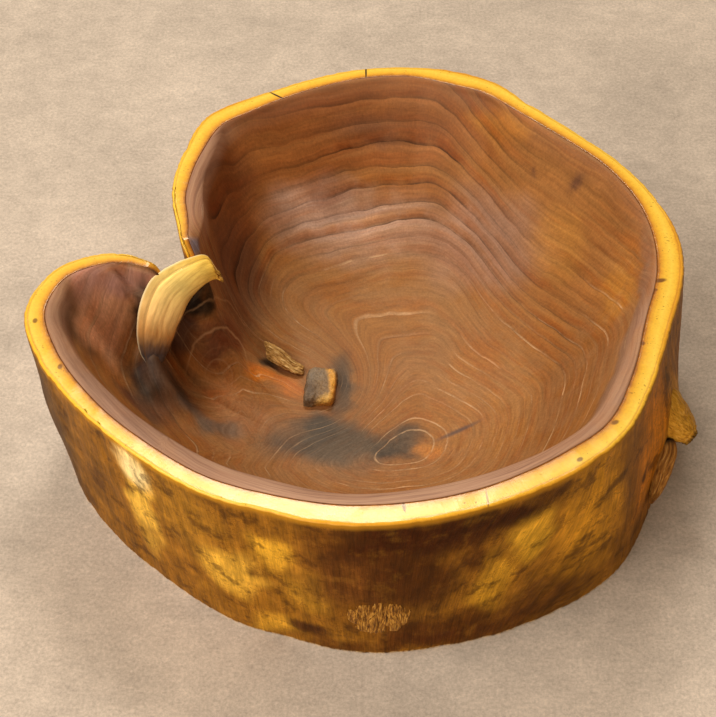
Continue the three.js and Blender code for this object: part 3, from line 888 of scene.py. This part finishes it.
def ball_round(tree, place, centre, radii, turn=0.0):
    """Places measured so that an ellipsoid, given by its centre and radii in mm, is a ball of radius 1,
    and how far they are from its middle on that measure."""
    ball = add_node(tree, "Mapping", {"vector_type": "TEXTURE"}, Vector=place,
                    Rotation=(0, 0, radians(turn)), Location=[c * MM for c in centre],
                    Scale=[r * MM for r in radii])
    return ball, add_node(tree, "VectorMath", {"operation": "LENGTH"}, out="Value", i0=ball)


def spot(tree, below, place, colour, centre, radii, strength=1.0, turn=0.0, soft=0.4):
    """Paint a soft-edged ellipsoid of colour over what is below: centre and radii in mm."""
    distance = ball_round(tree, place, centre, radii, turn)[1]
    mask = add_node(tree, "MapRange", EASED, Value=distance, From_Min=1 - soft, From_Max=1 + soft,
                    To_Min=strength, To_Max=0.0)
    return add_node(tree, "Mix", OVER, 2, i0=mask, i6=below, i7=linear(colour))


def laid_on(tree, below, colour, value, low, high, amount=1.0):
    """Lay a colour over what is below: none where a value is at low, and an amount where it is at high."""
    share = add_node(tree, "MapRange", EASED, Value=value, From_Min=low, From_Max=high, To_Max=amount)
    return add_node(tree, "Mix", OVER, 2, i0=share, i6=below, i7=linear(colour))


def dressed(tree, shader, colour, height, strength, depth):
    """Give a shader its colour and its fine relief, whose depth is in mm."""
    bump = add_node(tree, "Bump", Height=height, Strength=strength, Distance=depth * MM)
    tree.links.new(colour, shader.inputs["Base Color"])
    tree.links.new(bump, shader.inputs["Normal"])


def heartwood_finish():
    """Heartwood of a tropical shade tree, carved, sanded and oiled to a soft gloss: brown wood whose growth
    rings end in a sharp dark line with an orange band over it, grey-mauve between the rings, and thin
    pale lines instead where the floor and the right side cut the rings at a low angle. The lip is veiled
    in a painted mauve reflection."""
    material, tree, shader, place = new_finish("carved heartwood", 0.5, 0.3, "#ffd8b0")
    along = add_node(tree, "Attribute", {"attribute_name": "grain"}, "Vector")
    stain = add_node(tree, "Attribute", {"attribute_name": "stain"}, "Color")
    rings, pale, faint, lip = (add_node(tree, "Attribute", {"attribute_name": name}, "Fac")
                               for name in ("rings", "pale", "faint", "lip"))
    streaks = grain(tree, along, (1.3, 30, 30))
    bands = grain(tree, along, (5.0, 70, 70), 3.0)
    fibres = grain(tree, place, (1.4 * MM, 1.4 * MM, 12 * MM), 4.0, 0.7)
    clouds = grain(tree, place, (34 * MM,) * 3, 5.0)
    patches = grain(tree, place, (26 * MM,) * 3, 3.0)
    # Each ring has its own chance, and its line comes and goes along it
    wander = add_node(tree, "Math", TIMES_PLUS, i0=streaks, i1=0.16, i2=rings)
    part = add_node(tree, "Math", {"operation": "FRACT"}, i0=wander)
    number = add_node(tree, "Math", {"operation": "FLOOR"}, i0=wander)
    chance = add_node(tree, "TexWhiteNoise", {"noise_dimensions": "1D"}, W=number)
    patchy = add_node(tree, "MapRange", EASED, Value=patches, From_Min=0.35, From_Max=0.6, To_Min=0.35)
    strong = add_node(tree, "MapRange", Value=chance, To_Min=0.4, To_Max=patchy)
    clear = add_node(tree, "MapRange", Value=pale, To_Min=strong, To_Max=0.1)
    clear = add_node(tree, "MapRange", Value=faint, To_Min=clear, To_Max=0.05)
    line = add_node(tree, "ValToRGB", {"stops": RING_TINTS}, Fac=part)
    colour = shade(tree, stain, clouds, 0.8, 1.2)
    colour = add_node(tree, "Mix", TINT, 2, i0=clear, i6=colour, i7=line)
    rise = add_node(tree, "MapRange", EASED, Value=part, From_Max=0.05, To_Max=patchy)
    fine = add_node(tree, "MapRange", EASED, Value=part, From_Min=0.08, From_Max=0.2, To_Min=rise,
                    To_Max=0.0)
    chosen = add_node(tree, "MapRange", EASED, Value=chance, From_Min=0.2, From_Max=0.9, To_Max=fine)
    broken = add_node(tree, "MapRange", EASED, Value=clouds, From_Min=0.42, From_Max=0.62, To_Min=0.15,
                      To_Max=chosen)
    shown = add_node(tree, "Math", TIMES, i0=broken, i1=add_node(tree, "Math", TIMES, i0=pale, i1=0.75))
    colour = add_node(tree, "Mix", OVER, 2, i0=shown, i6=colour, i7=linear(PALE_LINE))
    ruddy = add_node(tree, "MapRange", EASED, Value=bands, From_Min=0.45, From_Max=0.65, To_Max=0.4)
    colour = add_node(tree, "Mix", TINT, 2, i0=ruddy, i6=colour, i7=linear("#f0c8a8"))
    colour = shade(tree, colour, streaks, 0.74, 1.26)
    colour = shade(tree, colour, fibres, 0.78, 1.22)
    # Below the fork the side stem's rings stand as pale arcs
    ball, reach = ball_round(tree, place, ARC_CENTRE, ARC_RADII)
    reach = add_node(tree, "Math", TIMES_PLUS, i0=patches, i1=0.3, i2=reach)
    reach = add_node(tree, "Math", TIMES_PLUS, i0=streaks, i1=0.04, i2=reach)
    arcs = add_node(tree, "ValToRGB", {"stops": ARC_LINES},
                    Fac=add_node(tree, "MapRange", Value=reach, From_Min=0.17, From_Max=2.17))
    above = add_node(tree, "MapRange", EASED, Value=add_node(tree, "SeparateXYZ", out="Y", Vector=ball),
                     From_Min=-0.2, From_Max=0.15)
    beside = add_node(tree, "MapRange", EASED, Value=add_node(tree, "SeparateXYZ", Vector=ball),
                      From_Min=0.95, From_Max=0.7, To_Max=above)
    arcs = add_node(tree, "Math", TIMES, i0=beside, i1=arcs)
    colour = add_node(tree, "Mix", OVER, 2, i0=arcs, i6=colour, i7=linear("#c89868"))
    colour = spot(tree, colour, place, *PITH_CRACK)
    # Painted reflection: the lip is laid over with a mauve veil
    lip_sheen = add_node(tree, "ValToRGB", {"stops": LIP_SHEEN_TINTS}, Fac=grain(tree, along, (2.0, 60, 60)))
    colour = add_node(tree, "Mix", OVER, 2, i0=lip, i6=colour, i7=lip_sheen)
    dressed(tree, shader, colour, add_node(tree, "Math", ADD, i0=streaks, i1=fibres), 0.35, 0.35)
    return material


def sapwood_finish():
    """Sapwood, the yellow living wood below the bark, oiled. The sawn rim shows end grain with short
    dark ticks and drying cracks; the outside is skinned of bark, mottled golden and brown with soft
    edges, in upright fibres that lean over on the right of the front."""
    material, tree, shader, place = new_finish("oiled sapwood", 0.32, 0.45, "#ffdc9c")
    fibre = add_node(tree, "Attribute", {"attribute_name": "fibre"}, "Vector")
    stain = add_node(tree, "Attribute", {"attribute_name": "stain"}, "Color")
    arris, core = (add_node(tree, "Attribute", {"attribute_name": name}, "Fac") for name in ("arris", "core"))
    fibres = grain(tree, fibre, (1.3, 14, 1), 4.0, 0.7)
    streaks = grain(tree, fibre, (6, 50, 1), 5.0, 0.65)
    clouds = grain(tree, fibre, (24, 20, 1), 6.0, 0.7)
    blotches = grain(tree, fibre, (9, 12, 1), 4.0, 0.6)
    # The outside: soft gold where it is bare, brown where inner bark is left, and thin broken veins
    outside = shade(tree, stain, streaks, 0.5, 1.5)
    outside = laid_on(tree, outside, BARE_TINT, clouds, 0.5, 0.68, 0.1)
    outside = laid_on(tree, outside, BARK_TINT, clouds, 0.48, 0.38, 0.6)
    outside = shade(tree, shade(tree, outside, clouds, 0.7, 1.3), blotches, 0.72, 1.28)
    outside = shade(tree, outside, fibres, 0.66, 1.34)
    rise = add_node(tree, "MapRange", EASED, Value=clouds, From_Min=0.5, From_Max=0.515, To_Max=0.55)
    vein = add_node(tree, "MapRange", EASED, Value=clouds, From_Min=0.52, From_Max=0.535, To_Min=rise,
                    To_Max=0.0)
    broken = add_node(tree, "MapRange", EASED, Value=blotches, From_Min=0.42, From_Max=0.6, To_Max=vein)
    outside = add_node(tree, "Mix", OVER, 2, i0=broken, i6=outside, i7=linear(BARK_TINT))
    outside = laid_on(tree, outside, "#b87c1c", arris, -6.0, -1.5, 0.7)
    height = add_node(tree, "SeparateXYZ", out="Y", Vector=fibre)
    worn = add_node(tree, "MapRange", EASED, Value=streaks, From_Min=0.42, From_Max=0.56)
    base = add_node(tree, "MapRange", EASED, Value=height, From_Min=0.7, From_Max=2.0, To_Min=worn,
                    To_Max=0.0)
    outside = add_node(tree, "Mix", OVER, 2, i0=base, i6=outside, i7=linear("#e4c48c"))
    # The rim: brown where it meets the heartwood, yellow further out, with ticks, a seam and cracks
    jagged = add_node(tree, "Math", TIMES_PLUS, i0=grain(tree, place, (5 * MM,) * 3, 3.0), i1=-2.4, i2=core)
    zone = add_node(tree, "MapRange", Value=jagged, From_Min=-1.2, From_Max=13.0)
    ticks = grain(tree, place, (1.6 * MM, 1.6 * MM, 6 * MM), 2.0, 0.5)
    rim = shade(tree, add_node(tree, "ValToRGB", {"stops": RIM_TINTS}, Fac=zone), ticks, 0.9, 1.1)
    sparse = add_node(tree, "MapRange", EASED, Value=grain(tree, place, (9 * MM,) * 3, 2.0), From_Min=0.48,
                      From_Max=0.6, To_Max=0.75)
    tick = add_node(tree, "MapRange", EASED, Value=ticks, From_Min=0.6, From_Max=0.7, To_Max=sparse)
    rim = add_node(tree, "Mix", OVER, 2, i0=tick, i6=rim, i7=linear("#a87420"))
    rise = add_node(tree, "MapRange", EASED, Value=arris, From_Min=1.6, From_Max=2.4, To_Max=0.5)
    seam = add_node(tree, "MapRange", EASED, Value=arris, From_Min=2.6, From_Max=3.6, To_Min=rise,
                    To_Max=0.0)
    rim = add_node(tree, "Mix", OVER, 2, i0=seam, i6=rim, i7=linear("#c07818"))
    for colour, centre, radii, strength, turn in RIM_MARKS:
        rim = spot(tree, rim, place, colour, centre, radii, strength, turn)
    on_top = add_node(tree, "MapRange", EASED, Value=arris, From_Min=-1.2, From_Max=0.4)
    for socket, below, above in (("Roughness", 0.5, 0.24), ("Specular IOR Level", 0.1, 0.55)):
        gloss = add_node(tree, "MapRange", Value=on_top, To_Min=below, To_Max=above)
        tree.links.new(gloss, shader.inputs[socket])
    tree.links.new(add_node(tree, "Mix", OVER, 2, i0=on_top, i6=linear("#ffcf80"), i7=linear("#fff0cc")),
                   shader.inputs["Specular Tint"])
    relief = add_node(tree, "MapRange", Value=on_top, To_Min=0.6, To_Max=0.12)
    colour = add_node(tree, "Mix", OVER, 2, i0=on_top, i6=outside, i7=rim)
    dressed(tree, shader, colour, fibres, relief, 0.6)
    return material


def rolled_finish():
    """The same sapwood where it rolls into the hollow: worn smooth and golden, pale on its sharp edge,
    with painted shade below, and dark at its torn tip and where its lower end turns into the heartwood."""
    material, tree, shader, _ = new_finish("worn sapwood", 0.32, 0.4, "#ffdc9c")
    fibre = add_node(tree, "Attribute", {"attribute_name": "fibre"}, "Vector")
    along, under, edge = (add_node(tree, "Attribute", {"attribute_name": name}, "Fac")
                          for name in ("along", "under", "edge"))
    fibres = grain(tree, fibre, (22, 1.8, 1.8))
    clouds = grain(tree, fibre, (12, 6, 6), 4.0, 0.6)
    wander = add_node(tree, "Math", TIMES_PLUS, i0=fibres, i1=0.14, i2=along)
    gold = shade(tree, add_node(tree, "ValToRGB", {"stops": ROLLED_TINTS}, Fac=wander), fibres, 0.76, 1.24)
    gold = shade(tree, gold, clouds, 0.8, 1.2)
    # Painted shade on the underside and the side turned away from the light
    below = add_node(tree, "Math", TIMES_PLUS, i0=clouds, i1=0.4, i2=under)
    gold = laid_on(tree, gold, "#2a2018", below, 0.6, 1.1)
    gold = laid_on(tree, gold, "#f6e0b0", edge, 0.5, 1.0, 0.6)
    gold = laid_on(tree, gold, "#7a4c1c", edge, -0.3, -1.0, 0.45)
    dressed(tree, shader, gold, fibres, 0.35, 0.4)
    return material


def fibre_finish(name, stops, size, roughness):
    """Rough torn wood: colours that follow its fibres, with deep relief, darkened where its under layer is
    set: at the stub's torn tip, and as painted shade below the stub and at the top of the flap.
    """
    material, tree, shader, _ = new_finish(name, roughness, 0.25, "#ffdc9c")
    fibre = add_node(tree, "Attribute", {"attribute_name": "fibre"}, "Vector")
    under = add_node(tree, "Attribute", {"attribute_name": "under"}, "Fac")
    fibres = grain(tree, fibre, size, 6.0, 0.7)
    colour = shade(tree, add_node(tree, "ValToRGB", {"stops": stops}, Fac=fibres),
                   grain(tree, fibre, [5 * s for s in size], 3.0), 0.75, 1.25)
    # Painted shade under the stub and at the top of the flap, with the stub's dark torn tip
    colour = add_node(tree, "Mix", OVER, 2, i0=under, i6=colour, i7=linear("#241408"))
    dressed(tree, shader, colour, fibres, 0.8, 1.0)
    return material


def knot_finish():
    """Dense knot wood, cut across and left rough: grey-brown with pale flecks, gold along its right
    edge, brightened there by a painted highlight that is strongest at the front corner."""
    material, tree, shader, place = new_finish("knot wood", 0.45, 0.4)
    stain = add_node(tree, "Attribute", {"attribute_name": "stain"}, "Color")
    flecks = grain(tree, place, (1.3 * MM,) * 3, 4.0, 0.75)
    dressed(tree, shader, shade(tree, stain, flecks, 0.45, 1.55), flecks, 0.7, 0.8)
    return material


def floor_finish(colour):
    """Smooth plaster floor, clouded and scuffed, with a fine grit."""
    material, tree, shader, place = new_finish("plaster floor", 0.85, 0.2)
    clouds = grain(tree, place, (90 * MM,) * 3, 6.0, 0.65)
    scuffs = grain(tree, place, (14 * MM, 10 * MM, 14 * MM), 5.0, 0.75, 0.4)
    grit = grain(tree, place, (2.2 * MM,) * 3, 3.0, 0.8)
    colour = shade(tree, linear(colour), clouds, 0.8, 1.2)
    colour = shade(tree, shade(tree, colour, scuffs, 0.86, 1.14), grit, 0.74, 1.26)
    dressed(tree, shader, colour, grit, 0.25, 0.4)
    return material


# The add-on


class BowlStage(bpy.types.PropertyGroup):
    """Floor and light settings"""
    floor_colour: bpy.props.StringProperty(
        name="Floor colour", description="sRGB hex colour of the floor", default="#c6b29b")
    key_power: bpy.props.FloatProperty(
        name="Key power", description="Power of the large soft lamp high on the left", default=33.0,
        min=0.0, unit="POWER")
    rim_power: bpy.props.FloatProperty(
        name="Rim power", description="Power of the softbox that the rim reflects", default=9.5,
        min=0.0, unit="POWER")
    front_power: bpy.props.FloatProperty(
        name="Front power", description="Power of the low soft lamp in front", default=9.0,
        min=0.0, unit="POWER")
    sky_strength: bpy.props.FloatProperty(
        name="Room light", description="Strength of the even light from all round", default=0.29, min=0.0)


class BOWL_OT_solid_wood(bpy.types.Operator):
    """Make the heartwood with its hollow and the sapwood wall round it"""
    bl_idname = "bowl.solid_wood"
    bl_label = "Heartwood and sapwood"

    def execute(self, context):
        trunk = trunk_slice()
        make_heartwood(trunk, heartwood_finish())
        make_sapwood(trunk, sapwood_finish())
        return {"FINISHED"}


class BOWL_OT_fork(bpy.types.Operator):
    """Make what the fork left in the hollow: rolled sapwood, grown-in bark and the knot"""
    bl_idname = "bowl.fork"
    bl_label = "Fork"

    def execute(self, context):
        make_rolled_sapwood(rolled_finish())
        make_included_bark(fibre_finish(
            "grown-in bark", ((0.3, "#4a2c14"), (0.42, "#94642e"), (0.54, "#d09c54"), (0.7, "#f0d090")),
            (6, 1.0, 1.0), 0.6))
        make_knot(knot_finish())
        return {"FINISHED"}


class BOWL_OT_outside(bpy.types.Operator):
    """Make what stands on the outside: the branch stub, the torn flap and the bark patch"""
    bl_idname = "bowl.outside"
    bl_label = "Outside growths"

    def execute(self, context):
        make_branch_stub(fibre_finish(
            "stub wood", ((0.3, "#7a4812"), (0.42, "#bc7e20"), (0.55, "#dc9c30"), (0.72, "#f0c268")),
            (40, 1.2, 1.2), 0.45))
        make_torn_flap(fibre_finish(
            "torn fibre", ((0.3, "#4a240c"), (0.46, "#8e5822"), (0.6, "#bc8038"), (0.74, "#e0b878")),
            (30, 1.2, 1.2), 0.55))
        make_bark_patch(trunk_slice(), fibre_finish(
            "inner bark", ((0.34, "#3c1c08"), (0.46, "#80501e"), (0.56, "#bc8030"), (0.7, "#e2ae58")),
            (7, 0.9, 0.9), 0.5))
        return {"FINISHED"}


class BOWL_OT_stage(bpy.types.Operator):
    """Lay the floor, hang the lights and place the camera"""
    bl_idname = "bowl.stage"
    bl_label = "Stage"

    def execute(self, context):
        settings = context.scene.bowl_stage
        scene = context.scene
        bpy.ops.mesh.primitive_plane_add(size=FLOOR_SIZE * MM)
        floor = context.object
        floor.name = "floor"
        floor.data.materials.append(floor_finish(settings.floor_colour))
        lamps = (("key", KEY_PLACE, KEY_SIZE, settings.key_power),
                 ("rim_softbox", SOFTBOX_PLACE, SOFTBOX_SIZE, settings.rim_power),
                 ("front", FRONT_PLACE, FRONT_SIZE, settings.front_power))
        for name, place, size, power in lamps:
            data = bpy.data.lights.new(name, "AREA")
            data.shape = "RECTANGLE"
            data.size, data.size_y = size[0] * MM, size[1] * MM
            data.energy = power
            lamp = bpy.data.objects.new(name, data)
            context.collection.objects.link(lamp)
            lamp.location = Vector(place) * MM
            lamp.rotation_euler = (-lamp.location).to_track_quat("-Z", "Y").to_euler()
        scene.world = bpy.data.worlds.new("studio")
        scene.world.use_nodes = True
        sky = scene.world.node_tree.nodes["Background"]
        sky.inputs["Color"].default_value = linear("#f4e0c6")
        sky.inputs["Strength"].default_value = settings.sky_strength
        data = bpy.data.cameras.new("camera")
        data.lens = CAMERA_LENS
        data.sensor_width = SENSOR_WIDTH
        camera = bpy.data.objects.new("camera", data)
        context.collection.objects.link(camera)
        camera.location = Vector(CAMERA_PLACE) * MM
        look = Vector(CAMERA_TARGET) - Vector(CAMERA_PLACE)
        camera.rotation_euler = look.to_track_quat("-Z", "Y").to_euler()
        scene.camera = camera
        scene.view_settings.view_transform = "Standard"
        return {"FINISHED"}


class BOWL_PT_panel(bpy.types.Panel):
    """Lists the bowl's making steps in the sidebar"""
    bl_idname = "BOWL_PT_panel"
    bl_label = "Live-edge bowl"
    bl_space_type = "VIEW_3D"
    bl_region_type = "UI"
    bl_category = "Bowl"

    def draw(self, context):
        for operator in (BOWL_OT_solid_wood, BOWL_OT_fork, BOWL_OT_outside, BOWL_OT_stage):
            self.layout.operator(operator.bl_idname)
        for name in ("floor_colour", "key_power", "rim_power", "front_power", "sky_strength"):
            self.layout.prop(context.scene.bowl_stage, name)


CLASSES = (BowlStage, BOWL_OT_solid_wood, BOWL_OT_fork, BOWL_OT_outside, BOWL_OT_stage, BOWL_PT_panel)


def register():
    """Register the settings, the operators and the panel."""
    for cls in CLASSES:
        bpy.utils.register_class(cls)
    bpy.types.Scene.bowl_stage = bpy.props.PointerProperty(type=BowlStage)


def unregister():
    """Remove what register added."""
    del bpy.types.Scene.bowl_stage
    for cls in reversed(CLASSES):
        bpy.utils.unregister_class(cls)


def main():
    """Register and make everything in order."""
    register()
    bpy.ops.bowl.solid_wood()
    bpy.ops.bowl.fork()
    bpy.ops.bowl.outside()
    bpy.ops.bowl.stage()
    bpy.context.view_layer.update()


if __name__ == "__main__":
    main()
